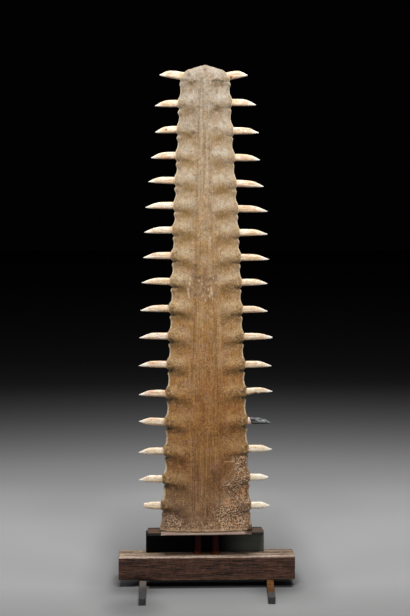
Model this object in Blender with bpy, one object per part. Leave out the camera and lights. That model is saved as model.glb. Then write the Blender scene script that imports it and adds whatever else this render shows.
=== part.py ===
"""Sawfish rostrum, standing on its cut base on a wooden stand.

Metres, +Z up. The front faces -Y, +X is to the right, and the origin is on the floor under the middle
of the beam.
"""

import math

import bmesh
import bpy
from mathutils import Matrix, Vector

# Clearance between pieces that touch or fit into each other
GAP = 0.0003

# Stand
BEAM_LENGTH = 0.456
BEAM_DEPTH = 0.076
BEAM_HEIGHT = 0.0612
FOOT_SIDE = 0.018
FOOT_LENGTH = 0.356
FOOT_X = 0.165
FOOT_YAW = {"left": 0.0, "right": -3.0}
BOARD_SIZE = (0.300, 0.053, 0.009)
BOARD_CENTRE = (-0.0035, 0.0055)
BOARD_ABOVE_BEAM = 0.052
BLOCK_SIZE = (0.308, 0.024)
BLOCK_Y = 0.0255
PLATE_SIZE = (0.233, 0.082, 0.003)
PLATE_CENTRE = (-0.002, -0.008)
POST_RADIUS = 0.010
POST_SPACING = 0.045
POST_X = 0.001
POST_IN_BEAM = 0.025
POST_IN_BLADE = 0.060
POST_SIDES = 16

# Heights that follow from the stand
BEAM_BOTTOM = FOOT_SIDE + GAP
BEAM_TOP = BEAM_BOTTOM + BEAM_HEIGHT
BOARD_BOTTOM = BEAM_TOP + BOARD_ABOVE_BEAM
BOARD_TOP = BOARD_BOTTOM + BOARD_SIZE[2]
PLATE_TOP = BOARD_TOP + GAP + PLATE_SIZE[2]
BLADE_BASE = PLATE_TOP + GAP

# Blade: heights are above the floor, the axis leans a little to the left
BLADE_TIP = 1.334
AXIS_X_AT_BASE = -0.0014
AXIS_X_AT_TIP = -0.0045
WIDE_AT, WIDE_HALF = 0.250, 0.1095
NARROW_AT, NARROW_HALF = 1.250, 0.0625
SIDE_BOW = 0.0018
BASE_FLARE = 0.0055
BASE_FLARE_RISE = 0.045
EDGE_Y = -0.005
FRONT_CROWN = 0.029
BACK_CROWN = 0.034
EDGE_THICKNESS_BASE = 0.028
EDGE_THICKNESS_TIP = 0.019
CROWN_LEFT_AT_TIP = 0.20
SECTION_POINTS = 28

# The dome above the last full-width section: height, half width and share of the full thickness
DOME = (
    (1.302, 0.0590, 0.95),
    (1.311, 0.0560, 0.86),
    (1.318, 0.0490, 0.74),
    (1.323, 0.0395, 0.62),
    (1.328, 0.0230, 0.48),
    (1.332, 0.0080, 0.30),
    (BLADE_TIP, 0.0022, 0.14),
)
DOME_START = 1.290

# Swelling of the edge round each socket and the ridge that runs in from it
SWELL = 0.0068
SWELL_ABOVE = 0.020
SWELL_BELOW = 0.010
RIDGE = 0.0030
RIDGE_REACH = 0.42

# Teeth, from the tip of the saw down: height of the root, distance of the tooth's tip from the
# blade's axis and how far the tip lies below the root, all in millimetres
TEETH = {
    "left": (
        (1307, 114, -2),
        (1238, 126, 6),
        (1173, 126, 7),
        (1108, 137, 6),
        (1045, 144, 3),
        (982, 152, 5),
        (920, 155, 6),
        (855, 158, 5),
        (789, 162, 3),
        (720, 166, 5),
        (649, 169, 4),
        (576, 171, 3),
        (501, 171, 3),
        (428, 172, 2),
        (353, 173, 6),
        (279, 173, 3),
        (208, 162, 0),
    ),
    "right": (
        (1307, 107, -2),
        (1241, 129, 6),
        (1170, 136, 5),
        (1103, 139, 6),
        (1038, 149, 8),
        (974, 159, 7),
        (913, 159, 4),
        (850, 162, 5),
        (786, 159, 3),
        (717, 159, 5),
        (647, 171, 4),
        (575, 169, 4),
        (505, 172, 0),
        (429, 171, 6),
        (356, 171, 2),
        (281, 161, 1),
        (207, 166, 1),
    ),
}
TOOTH_HALF_HEIGHT = 0.0089
FIRST_TOOTH_HALF_HEIGHT = 0.0100
TOOTH_FLATNESS = 0.54
TOOTH_IN_BLADE = 0.020
TOOTH_SIDES = 8
# Share of the exposed length, then upper and lower edge as shares of the half height, and thickness
TOOTH_OUTLINE = (
    (0.42, 0.88, -0.97, 0.90),
    (0.68, 0.48, -0.90, 0.74),
    (0.87, -0.05, -0.80, 0.46),
    (1.00, -0.52, -0.68, 0.14),
)
TIP_LEVEL = -0.60
# Teeth worn blunt: how much of the root's height is left at their end
WORN = {("left", 17): 0.55, ("right", 16): 0.40, ("right", 11): 0.30}


def clear_scene():
    for obj in list(bpy.data.objects):
        bpy.data.objects.remove(obj, do_unlink=True)


def material(name, color, roughness, metallic=0.0):
    made = bpy.data.materials.new(name)
    made.use_nodes = True
    shader = made.node_tree.nodes["Principled BSDF"]
    shader.inputs["Base Color"].default_value = (*color, 1.0)
    shader.inputs["Roughness"].default_value = roughness
    shader.inputs["Metallic"].default_value = metallic
    return made


def add_object(name, bm, surface=None):
    """An object holding this mesh, with its normals pointing out."""
    bmesh.ops.recalc_face_normals(bm, faces=bm.faces)
    mesh = bpy.data.meshes.new(name)
    bm.to_mesh(mesh)
    bm.free()
    obj = bpy.data.objects.new(name, mesh)
    if surface:
        mesh.materials.append(surface)
    bpy.context.scene.collection.objects.link(obj)
    return obj


def shade_round(obj, angle=40):
    obj.data.shade_smooth()
    obj.data.set_sharp_from_angle(angle=math.radians(angle))


def hide_cutter(obj):
    obj.hide_render = True
    obj.display_type = "WIRE"


def cut(obj, cutter):
    modifier = obj.modifiers.new("cut", "BOOLEAN")
    modifier.operation = "DIFFERENCE"
    modifier.solver = "EXACT"
    modifier.object = cutter


def loft(bm, rings):
    """Closes a skin over rings of points that run round the same way, and caps both ends."""
    loops = [[bm.verts.new(point) for point in ring] for ring in rings]
    count = len(rings[0])
    for lower, upper in zip(loops, loops[1:]):
        for k in range(count):
            after = (k + 1) % count
            bm.faces.new((lower[k], lower[after], upper[after], upper[k]))
    bm.faces.new(loops[0][::-1])
    bm.faces.new(loops[-1])


def smooth_step(value):
    value = min(max(value, 0.0), 1.0)
    return value * value * (3 - 2 * value)


def between(value, start, end):
    """Share of the way from start to end."""
    return (value - start) / (end - start)


def axis_x(z):
    return AXIS_X_AT_BASE + (AXIS_X_AT_TIP - AXIS_X_AT_BASE) * between(z, BLADE_BASE, BLADE_TIP)


def plain_half_width(z):
    """Half width of the blade in the hollows between its sockets."""
    share = between(z, WIDE_AT, NARROW_AT)
    taper = WIDE_HALF + (NARROW_HALF - WIDE_HALF) * share
    bow = SIDE_BOW * math.sin(math.pi * min(max(share, 0.0), 1.0))
    flare = BASE_FLARE * smooth_step(1 - between(z, BLADE_BASE, BLADE_BASE + BASE_FLARE_RISE))
    return taper + bow + flare


def dome_shares(z):
    """Half width and thickness share in the dome, or None below it."""
    below = (DOME_START, plain_half_width(DOME_START), 1.0)
    for lower, upper in zip((below, *DOME), DOME):
        if lower[0] <= z <= upper[0]:
            share = between(z, lower[0], upper[0])
            return [a + (b - a) * share for a, b in zip(lower[1:], upper[1:])]
    return None


def swelling(z, side):
    """One at a socket of this side, easing off slowly above it and quickly below it."""
    found = 0.0
    for root_mm, _, _ in TEETH[side]:
        away = z - root_mm / 1000
        reach = SWELL_ABOVE if away > 0 else SWELL_BELOW
        found = max(found, math.exp(-((away / reach) ** 2)))
    return found


def blade_section(z):
    """Points of the blade's outline at this height, running round from the middle of the front."""
    dome = dome_shares(z)
    half_width, thickness_share = dome or (plain_half_width(z), 1.0)
    up = between(z, BLADE_BASE, BLADE_TIP)
    crown_share = 1 - (1 - CROWN_LEFT_AT_TIP) * up
    edge_half = (EDGE_THICKNESS_BASE + (EDGE_THICKNESS_TIP - EDGE_THICKNESS_BASE) * up) / 2
    points = []
    for k in range(SECTION_POINTS):
        angle = 2 * math.pi * k / SECTION_POINTS
        across = math.sin(angle)
        swell = swelling(z, "right" if across > 0 else "left")
        if dome:
            swell *= smooth_step(1 - between(z, DOME_START, DOME[2][0]))
        x = axis_x(z) + across * (half_width + SWELL * swell * smooth_step(abs(across)))
        rim = edge_half * math.sqrt(max(1 - abs(across) ** 6, 0.0))
        front = math.cos(angle) > 0
        crown = ((FRONT_CROWN if front else BACK_CROWN) - edge_half) * crown_share
        crown *= 1 - abs(across) ** 2.4
        ridge = smooth_step(between(abs(across), 1 - RIDGE_REACH, 0.92))
        ridge *= RIDGE * swell * math.sqrt(max(1 - abs(across) ** 8, 0.0))
        depth = (rim + max(crown, 0.0)) * thickness_share + ridge
        points.append(Vector((x, EDGE_Y + (-depth if front else depth), z)))
    return points


def blade_heights():
    """Heights of the sections: four to each row of teeth, closer at the flare and in the dome."""
    rows = [
        (left[0] + right[0]) / 2000
        for left, right in zip(reversed(TEETH["left"]), reversed(TEETH["right"]))
    ]
    heights = [BLADE_BASE, BLADE_BASE + 0.018, BLADE_BASE + BASE_FLARE_RISE - 0.006]
    for row, following in zip(rows, [*rows[1:], None]):
        gap_above = (following or DOME_START) - row
        if following:
            heights += [row - SWELL_BELOW, row, row + SWELL_ABOVE * 0.8, row + gap_above * 0.6]
    heights += [DOME_START]
    heights += [stage[0] for stage in DOME]
    return heights


def tooth_place(side, number):
    """Root point on the blade's edge, direction, exposed length and half height of one tooth."""
    root_mm, reach_mm, drop_mm = TEETH[side][number - 1]
    outward = 1 if side == "right" else -1
    z = root_mm / 1000
    dome = dome_shares(z)
    edge = (dome[0] if dome else plain_half_width(z)) + SWELL * (0.5 if dome else 1.0)
    exposed = reach_mm / 1000 - edge
    half_height = FIRST_TOOTH_HALF_HEIGHT if number == 1 else TOOTH_HALF_HEIGHT
    rise = -drop_mm / 1000 - TIP_LEVEL * half_height
    direction = Vector((outward * exposed, 0, rise)).normalized()
    root = Vector((axis_x(z) + outward * edge, EDGE_Y, z))
    return root, direction, exposed, half_height


def tooth_ring(place, along, upper, lower, thickness, grow=0.0):
    """One section of a tooth, this far along its axis from the blade's edge."""
    root, direction, _, half_height = place
    up = Vector((-direction.z, 0, direction.x)) * (1 if direction.x > 0 else -1)
    middle = half_height * (upper + lower) / 2
    half = half_height * (upper - lower) / 2 + grow
    half_thick = half_height * TOOTH_FLATNESS * thickness + grow
    centre = root + direction * along + up * middle
    corners = 1 / math.cos(math.pi / TOOTH_SIDES)
    ring = []
    for k in range(TOOTH_SIDES):
        angle = 2 * math.pi * (k + 0.5) / TOOTH_SIDES
        aside = Vector((0, half_thick * corners * math.sin(angle), 0))
        ring.append(centre + up * half * corners * math.cos(angle) + aside)
    return ring


def add_tooth(side, number, surface):
    place = tooth_place(side, number)
    exposed = place[2]
    worn = WORN.get((side, number), 0.0)
    rings = [tooth_ring(place, -TOOTH_IN_BLADE, 1, -1, 1)]
    for share, upper, lower, thickness in TOOTH_OUTLINE:
        kept = worn * share**2
        rings.append(
            tooth_ring(
                place,
                exposed * share,
                upper + (0.62 - upper) * kept,
                lower + (-0.85 - lower) * kept,
                thickness + (0.9 - thickness) * kept,
            )
        )
    bm = bmesh.new()
    loft(bm, rings)
    shade_round(add_object(f"tooth_{side}_{number:02d}", bm, surface), 60)


def add_sockets():
    """One cutter with the root of every tooth in it, a gap larger all round."""
    bm = bmesh.new()
    for side, teeth in TEETH.items():
        for number in range(1, len(teeth) + 1):
            place = tooth_place(side, number)
            ends = (-TOOTH_IN_BLADE - GAP, TOOTH_IN_BLADE * 0.6)
            loft(bm, [tooth_ring(place, along, 1, -1, 1, GAP * 1.3) for along in ends])
    cutter = add_object("sockets", bm)
    hide_cutter(cutter)
    return cutter


def round_bar(bm, radius, x, y, bottom, top):
    rings = []
    for z in (bottom, top):
        turns = [2 * math.pi * (k + 0.5) / POST_SIDES for k in range(POST_SIDES)]
        rings.append([Vector((x + radius * math.cos(a), y + radius * math.sin(a), z)) for a in turns])
    loft(bm, rings)


def post_xs():
    return {"left": POST_X - POST_SPACING / 2, "right": POST_X + POST_SPACING / 2}


def add_post_holes(name, bottom, top):
    bm = bmesh.new()
    for x in post_xs().values():
        round_bar(bm, POST_RADIUS + GAP * 1.2, x, 0, bottom, top)
    cutter = add_object(name, bm)
    hide_cutter(cutter)
    return cutter


def add_block(name, size, centre, surface, turn=0.0):
    bm = bmesh.new()
    bmesh.ops.create_cube(bm, size=1.0, matrix=Matrix.Diagonal((*size, 1.0)))
    obj = add_object(name, bm, surface)
    obj.location = centre
    obj.rotation_euler.z = math.radians(turn)
    return obj


def build_stand():
    weathered = material("weathered_wood", (0.11, 0.065, 0.042), 0.75)
    board_wood = material("board_wood", (0.12, 0.085, 0.055), 0.7)
    pale = material("pale_plate", (0.42, 0.33, 0.27), 0.75)
    black = material("black_block", (0.008, 0.008, 0.008), 0.8)
    dark_red = material("dark_red", (0.07, 0.012, 0.012), 0.35)
    rust = material("rusty_iron", (0.30, 0.17, 0.06), 0.6, 0.4)

    for side, outward in (("left", -1), ("right", 1)):
        foot_size = (FOOT_SIDE, FOOT_LENGTH, FOOT_SIDE)
        foot_centre = (outward * FOOT_X, 0, FOOT_SIDE / 2)
        add_block(f"foot_bar_{side}", foot_size, foot_centre, rust, FOOT_YAW[side])

    beam_centre = (0, 0, BEAM_BOTTOM + BEAM_HEIGHT / 2)
    beam = add_block("beam", (BEAM_LENGTH, BEAM_DEPTH, BEAM_HEIGHT), beam_centre, weathered)
    post_bottom = BEAM_TOP - POST_IN_BEAM
    cut(beam, add_post_holes("beam_holes", post_bottom - GAP, BEAM_TOP + 0.01))

    block_height = BOARD_ABOVE_BEAM - 2 * GAP
    block_centre = (BOARD_CENTRE[0], BLOCK_Y, BEAM_TOP + GAP + block_height / 2)
    add_block("spacer_block", (*BLOCK_SIZE, block_height), block_centre, black)

    board_centre = (*BOARD_CENTRE, BOARD_BOTTOM + BOARD_SIZE[2] / 2)
    board = add_block("upper_board", BOARD_SIZE, board_centre, board_wood)
    plate_centre = (*PLATE_CENTRE, BOARD_TOP + GAP + PLATE_SIZE[2] / 2)
    plate = add_block("seat_plate", PLATE_SIZE, plate_centre, pale)
    through = add_post_holes("board_holes", BOARD_BOTTOM - 0.01, PLATE_TOP + 0.01)
    cut(board, through)
    cut(plate, through)

    for side, x in post_xs().items():
        bm = bmesh.new()
        round_bar(bm, POST_RADIUS, x, 0, post_bottom, BLADE_BASE + POST_IN_BLADE)
        shade_round(add_object(f"post_{side}", bm, dark_red))


def build_rostrum():
    skin = material("dried_skin", (0.36, 0.25, 0.15), 0.6)
    bm = bmesh.new()
    loft(bm, [blade_section(z) for z in blade_heights()])
    blade = add_object("rostrum", bm, skin)
    cut(blade, add_sockets())
    cut(blade, add_post_holes("blade_holes", BLADE_BASE - 0.01, BLADE_BASE + POST_IN_BLADE + GAP))
    shade_round(blade)


def build_teeth():
    ivory = material("tooth", (0.80, 0.68, 0.50), 0.4)
    for side, teeth in TEETH.items():
        for number in range(1, len(teeth) + 1):
            add_tooth(side, number, ivory)


clear_scene()
build_stand()
build_rostrum()
build_teeth()
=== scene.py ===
# Looks of the sawfish rostrum on its stand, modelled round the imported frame
import math

import bpy
import numpy as np
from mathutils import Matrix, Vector, noise


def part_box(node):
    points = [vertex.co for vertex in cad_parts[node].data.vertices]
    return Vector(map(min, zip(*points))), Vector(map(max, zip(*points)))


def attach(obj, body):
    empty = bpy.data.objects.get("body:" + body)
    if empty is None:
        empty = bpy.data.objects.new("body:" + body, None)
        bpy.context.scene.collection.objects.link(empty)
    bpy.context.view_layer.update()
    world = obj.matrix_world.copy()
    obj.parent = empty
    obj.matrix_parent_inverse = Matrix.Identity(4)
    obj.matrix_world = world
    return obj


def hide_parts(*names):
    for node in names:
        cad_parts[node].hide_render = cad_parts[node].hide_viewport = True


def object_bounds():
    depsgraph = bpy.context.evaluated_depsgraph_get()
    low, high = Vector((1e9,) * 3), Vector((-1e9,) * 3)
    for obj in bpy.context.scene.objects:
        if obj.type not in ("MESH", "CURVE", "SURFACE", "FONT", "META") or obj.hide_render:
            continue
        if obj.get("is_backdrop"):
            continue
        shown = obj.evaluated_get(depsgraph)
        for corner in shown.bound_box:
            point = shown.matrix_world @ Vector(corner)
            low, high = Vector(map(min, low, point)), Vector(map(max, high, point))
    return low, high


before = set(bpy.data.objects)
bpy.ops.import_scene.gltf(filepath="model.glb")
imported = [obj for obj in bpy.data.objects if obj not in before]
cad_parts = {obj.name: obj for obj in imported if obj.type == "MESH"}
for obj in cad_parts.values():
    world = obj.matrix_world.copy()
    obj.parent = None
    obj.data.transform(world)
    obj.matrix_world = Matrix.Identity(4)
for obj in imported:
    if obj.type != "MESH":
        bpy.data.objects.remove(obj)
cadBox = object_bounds()
body = "root"


# Shader wiring

class Wire:
    def __init__(self, finish, socket):
        self.finish = finish
        self.socket = socket

    def does(self, operation, first, second):
        return self.finish.put("Math", {"operation": operation}, [first, second])

    def __rsub__(self, other):
        return self.does("SUBTRACT", other, self)

    def __abs__(self):
        return self.finish.put("Math", {"operation": "ABSOLUTE"}, [self])


# the rest of the maths, each with the wire as its first value
operators = {
    "__add__": "ADD", "__radd__": "ADD", "__sub__": "SUBTRACT", "__mul__": "MULTIPLY", "__rmul__": "MULTIPLY",
    "__truediv__": "DIVIDE", "__pow__": "POWER", "atLeast": "MAXIMUM", "atMost": "MINIMUM",
}
for name, operation in operators.items():
    setattr(Wire, name, lambda self, other, operation=operation: self.does(operation, self, other))


class Finish:
    def __init__(self, name):
        self.material = bpy.data.materials.new(name)
        self.material.use_nodes = True
        self.tree = self.material.node_tree
        self.shader = self.tree.nodes["Principled BSDF"]
        self.place = self.put("TexCoord", {}, {}, "Object")
        self.x, self.y, self.z = (self.put("SeparateXYZ", {}, [self.place], axis) for axis in "XYZ")

    # settings first, then the values or links of the sockets
    def put(self, kind, settings, sockets, out=0):
        node = self.tree.nodes.new("ShaderNode" + kind)
        for key, value in settings.items():
            if key == "stops":
                self.fillRamp(node.color_ramp, value)
            else:
                setattr(node, key, value)
        entries = sockets.items() if isinstance(sockets, dict) else enumerate(sockets)
        for key, value in entries:
            self.feed(node.inputs[key], value)
        return Wire(self, node.outputs[out])

    def feed(self, entry, value):
        if isinstance(value, Wire):
            self.tree.links.new(value.socket, entry)
        else:
            entry.default_value = value

    def fillRamp(self, ramp, stops):
        while len(ramp.elements) < len(stops):
            ramp.elements.new(0.5)
        for element, (at, *color) in zip(ramp.elements, stops):
            element.position = at
            element.color = paint(*color)

    # a value stored with the points of the mesh
    def __getitem__(self, name):
        return self.put("Attribute", {"attribute_name": name}, {}, "Fac")

    def ramp(self, value, stops):
        return self.put("ValToRGB", {"stops": stops}, [value], "Color")

    def scaled(self, by):
        return self.put("Mapping", {}, {"Vector": self.place, "Scale": by})

    def noise(self, by, detail=4, rough=0.55, warp=0):
        sockets = {"Vector": self.scaled(by), "Scale": 1, "Detail": detail}
        sockets.update({"Roughness": rough, "Distortion": warp})
        return self.put("TexNoise", {}, sockets)

    def cells(self, by, feature="F1"):
        sockets = {"Vector": self.scaled(by), "Scale": 1}
        return self.put("TexVoronoi", {"feature": feature}, sockets, "Distance")

    # 0 at low, 1 at high and eased in between; turned round where low is the larger
    def step(self, value, low, high):
        sockets = {"Value": value, "From Min": low, "From Max": high}
        return self.put("MapRange", {"interpolation_type": "SMOOTHSTEP"}, sockets)

    # colors are wires, or picked ones as (red, green, blue)
    def mix(self, factor, first, second):
        first, second = (paint(*color) if isinstance(color, tuple) else color for color in (first, second))
        return self.put("Mix", {"data_type": "RGBA"}, {0: factor, 6: first, 7: second}, 2)

    # one more coat over the tone so far
    def coat(self, factor, color):
        self.tone = self.mix(factor, self.tone, color)

    # a coat that shows where a value has come from low to high
    def wash(self, value, low, high, strength, color):
        self.coat(self.step(value, low, high) * strength, color)

    def near(self, spot, inner, outer):
        settings = {"operation": "DISTANCE"}
        away = self.put("VectorMath", settings, [self.place, spot], "Value")
        return 1 - self.step(away, inner, outer)

    # closes a finish: its tone, how rough it is, and the fine relief that only the light shows
    def close(self, rough, height=None, strength=0, distance=0, specular=None):
        self.feed(self.shader.inputs["Base Color"], self.tone)
        self.feed(self.shader.inputs["Roughness"], rough)
        if height:
            sockets = {"Height": height, "Strength": strength, "Distance": distance}
            self.feed(self.shader.inputs["Normal"], self.put("Bump", {}, sockets))
        if specular:
            self.shader.inputs["Specular IOR Level"].default_value = specular
        return self


# a color as picked on screen, 0 to 255
def paint(red, green, blue):
    linear = [((c / 255 + 0.055) / 1.055) ** 2.4 if c > 10 else c / 255 / 12.92 for c in (red, green, blue)]
    return (*linear, 1)


# Small modelling helpers

def dropPick():
    bpy.ops.object.select_all(action="DESELECT")


def pickOnly(obj):
    dropPick()
    obj.select_set(True)
    bpy.context.view_layer.objects.active = obj


def goTo(mode):
    bpy.ops.object.mode_set(mode=mode)


# a fresh mesh, named and settled where it was added
def begin(name, add, **settings):
    dropPick()
    add(**settings)
    bpy.ops.object.transform_apply()
    obj = bpy.context.object
    obj.name = name
    obj.data.name = name
    return obj


def coords(obj):
    flat = np.empty(len(obj.data.vertices) * 3)
    obj.data.vertices.foreach_get("co", flat)
    return flat.reshape(-1, 3)


def setCoords(obj, points):
    obj.data.vertices.foreach_set("co", points.astype(np.float32).ravel())
    obj.data.update()


def addTone(obj, name, values):
    tone = obj.data.attributes.new(name, "FLOAT", "POINT")
    tone.data.foreach_set("value", values.astype(np.float32))


# selects the edges that run along one axis and cuts them all the way round
def cutAlong(obj, axis, cuts):
    points = coords(obj)
    ends = np.array([edge.vertices[:] for edge in obj.data.edges])
    run = np.abs(points[ends[:, 0]] - points[ends[:, 1]])
    aligned = run[:, axis] > 20 * np.delete(run, axis, 1).max(axis=1)
    bpy.context.tool_settings.mesh_select_mode = (False, True, False)
    goTo("EDIT")
    bpy.ops.mesh.select_all(action="DESELECT")
    goTo("OBJECT")
    obj.data.edges.foreach_set("select", aligned)
    goTo("EDIT")
    bpy.ops.mesh.subdivide(number_cuts=cuts)
    goTo("OBJECT")


def applyAll(obj):
    pickOnly(obj)
    for modifier in list(obj.modifiers):
        bpy.ops.object.modifier_apply(modifier=modifier.name)


def faceOut():
    goTo("EDIT")
    bpy.ops.mesh.select_all(action="SELECT")
    bpy.ops.mesh.remove_doubles(threshold=0.00001)
    bpy.ops.mesh.normals_make_consistent(inside=False)
    goTo("OBJECT")


def smoothOver(obj, degrees):
    pickOnly(obj)
    bpy.ops.object.shade_smooth_by_angle(angle=math.radians(degrees))


def dress(obj, finish, slotName, *nodes):
    obj.data.materials.clear()
    obj.data.materials.append(finish.material)
    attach(obj, body)
    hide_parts(*nodes)


def ease(value):
    value = np.clip(value, 0, 1)
    return value * value * (3 - 2 * value)


def share(value, start, end):
    return (value - start) / (end - start)


# eased from 0 at the start to 1 at the end
def glide(value, start, end):
    return ease(share(value, start, end))


def bell(value):
    return np.exp(-(value**2))


# a smooth curve through a few points, for profiles
def through(points, at):
    xs, ys = np.array(points, dtype=float).T
    slopes = np.gradient(ys, xs)
    k = np.clip(np.searchsorted(xs, at, side="right") - 1, 0, len(xs) - 2)
    span = xs[k + 1] - xs[k]
    t = np.clip((at - xs[k]) / span, 0, 1)
    startPart = (1 + 2 * t) * (1 - t) ** 2 * ys[k] + t * (1 - t) ** 2 * span * slopes[k]
    endPart = t * t * (3 - 2 * t) * ys[k + 1] - t * t * (1 - t) * span * slopes[k + 1]
    return startPart + endPart


# uneven lumps of a given size in metres, -1 to 1, at places given as x, y and z
def lumps(places, size, seed, depth=3):
    points = np.column_stack(np.broadcast_arrays(*places))
    shift = Vector((seed * 3.7, seed * 1.3, seed * 7.9))
    inverse = [1 / s for s in (size if hasattr(size, "__len__") else (size, size, size))]
    found = np.empty(len(points))
    for k, (x, y, z) in enumerate(points):
        spot = Vector((x * inverse[0], y * inverse[1], z * inverse[2])) + shift
        found[k] = noise.fractal(spot, 0.9, 2.1, depth)
    return found


# Blade: sizes as in the frame, in metres

bladeLow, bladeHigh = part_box("rostrum")
blade = {
    "base": bladeLow[2], "tip": bladeHigh[2], "axisAtBase": -0.0014, "axisAtTip": -0.0045, "wideAt": 0.25,
    "wideHalf": 0.1095, "narrowAt": 1.25, "narrowHalf": 0.0625, "bow": 0.0018, "flare": 0.0055,
    "flareRise": 0.045, "edgeY": -0.005, "frontCrown": 0.029, "backCrown": 0.034, "edgeAtBase": 0.028,
    "edgeAtTip": 0.019, "crownLeft": 0.2, "domeStart": 1.29, "swell": 0.0068, "ridge": 0.0042,
    "hollow": 0.001, "fold": 0.0026, "collar": 0.0026, "crease": 0.0018, "ringPoints": 172,
    "frontShare": 0.62,
}
# how far each edge stands out from the plain taper: height, distance
bladeEdges = {
    "right": ((0.14, 0), (0.3, 0.0012), (0.72, 0.0013), (0.84, 0.0028), (0.94, 0.0028), (1.12, 0)),
    "left": ((0.14, 0), (0.3, -0.002), (0.7, -0.0022), (0.8, -0.0016), (0.95, -0.0012), (1.12, 0)),
}
# the dome at the tip: height, half width, share of the full thickness
domeCurve = (
    (1.29, 0.0607, 1), (1.302, 0.059, 0.95), (1.311, 0.056, 0.86), (1.318, 0.049, 0.74),
    (1.323, 0.0395, 0.62), (1.328, 0.023, 0.48), (1.332, 0.008, 0.3), (1.334, 0.0022, 0.14),
)
# teeth from the tip down: root height, reach of the tip from the axis, fall of the tip, in millimetres
teeth = {
    "left": (
        (1307, 114, -2), (1238, 126, 6), (1173, 126, 7), (1108, 137, 6), (1045, 144, 3), (982, 152, 5),
        (920, 155, 6), (855, 158, 5), (789, 162, 3), (720, 166, 5), (649, 169, 4), (576, 171, 3),
        (501, 171, 3), (427, 172, -2), (351, 173, 3), (278, 173, 2), (208, 161, 0),
    ),
    "right": (
        (1307, 107, -2), (1241, 129, 6), (1170, 136, 5), (1103, 139, 6), (1038, 149, 8), (974, 159, 7),
        (913, 159, 4), (850, 162, 5), (786, 159, 3), (717, 159, 5), (647, 171, 4), (575, 169, 4),
        (505, 172, 0), (429, 171, 6), (356, 171, 2), (281, 161, 1), (207, 166, 1),
    ),
}
rootHeights = {side: np.array([tooth[0] for tooth in row]) / 1000 for side, row in teeth.items()}


def axisX(z):
    rise = share(z, blade["base"], blade["tip"])
    return blade["axisAtBase"] + (blade["axisAtTip"] - blade["axisAtBase"]) * rise


def bladeHalfWidth(z):
    along = share(z, blade["wideAt"], blade["narrowAt"])
    taper = blade["wideHalf"] + (blade["narrowHalf"] - blade["wideHalf"]) * along
    bow = blade["bow"] * np.sin(np.pi * np.clip(along, 0, 1))
    flare = blade["flare"] * ease(1 - share(z, blade["base"], blade["base"] + blade["flareRise"]))
    inDome = through([(row[0], row[1]) for row in domeCurve], z)
    return np.where(z > blade["domeStart"], inDome, taper + bow + flare)


# a number between low and high that is always the same for a seed
def vary(seed, low, high):
    return low + (high - low) * (math.sin(seed * 12.9898) * 43758.5453 % 1)


def stationHeights():
    rows = (rootHeights["left"] + rootHeights["right"]) / 2
    heights = [blade["base"], blade["base"] + 0.0012]
    heights += list(np.arange(blade["base"] + 0.003, rows[-1] - 0.022, 0.0024))
    for lower, upper in zip(rows[::-1], list(rows[-2::-1]) + [blade["domeStart"] + 0.022]):
        heights += list(np.linspace(lower - 0.022, lower + 0.014, 19))
        clear = np.linspace(lower + 0.014, upper - 0.022, 12)[1:-1]
        heights += list(clear)
    heights = [z for z in heights if z < blade["domeStart"]]
    return heights + list(np.linspace(blade["domeStart"], blade["tip"], 30))


def makeBlade():
    heights = stationHeights()
    settings = {"vertices": blade["ringPoints"], "radius": 1, "depth": 1, "location": (0, 0, 0.5)}
    obj = begin("rostrum_skin", bpy.ops.mesh.primitive_cylinder_add, **settings)
    # cut into rings in two goes, then one ring for each station
    rings = len(heights) - 1
    first = 20
    cutAlong(obj, 2, first - 1)
    cutAlong(obj, 2, math.ceil(rings / first) - 1)
    points = coords(obj)
    total = first * math.ceil(rings / first)
    level = np.rint(points[:, 2] * total)
    z = np.interp(level / total * rings, np.arange(len(heights)), heights)
    # more of the ring's points go to the front, and fewer to the rims
    turn = np.arctan2(points[:, 0], -points[:, 1]) / np.pi
    front = blade["frontShare"]
    spread = np.interp(np.abs(turn), (0, front, 1), (0, 0.5, 1)) * np.pi
    angle = np.sign(turn) * (spread - 0.16 * np.sin(2 * spread))
    shaped, tones = shapeBlade(angle, z)
    setCoords(obj, shaped)
    for name, values in tones.items():
        addTone(obj, name, values)
    faceOut()
    smoothOver(obj, 60)
    print("blade", len(obj.data.vertices), "points")
    return obj


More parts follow.
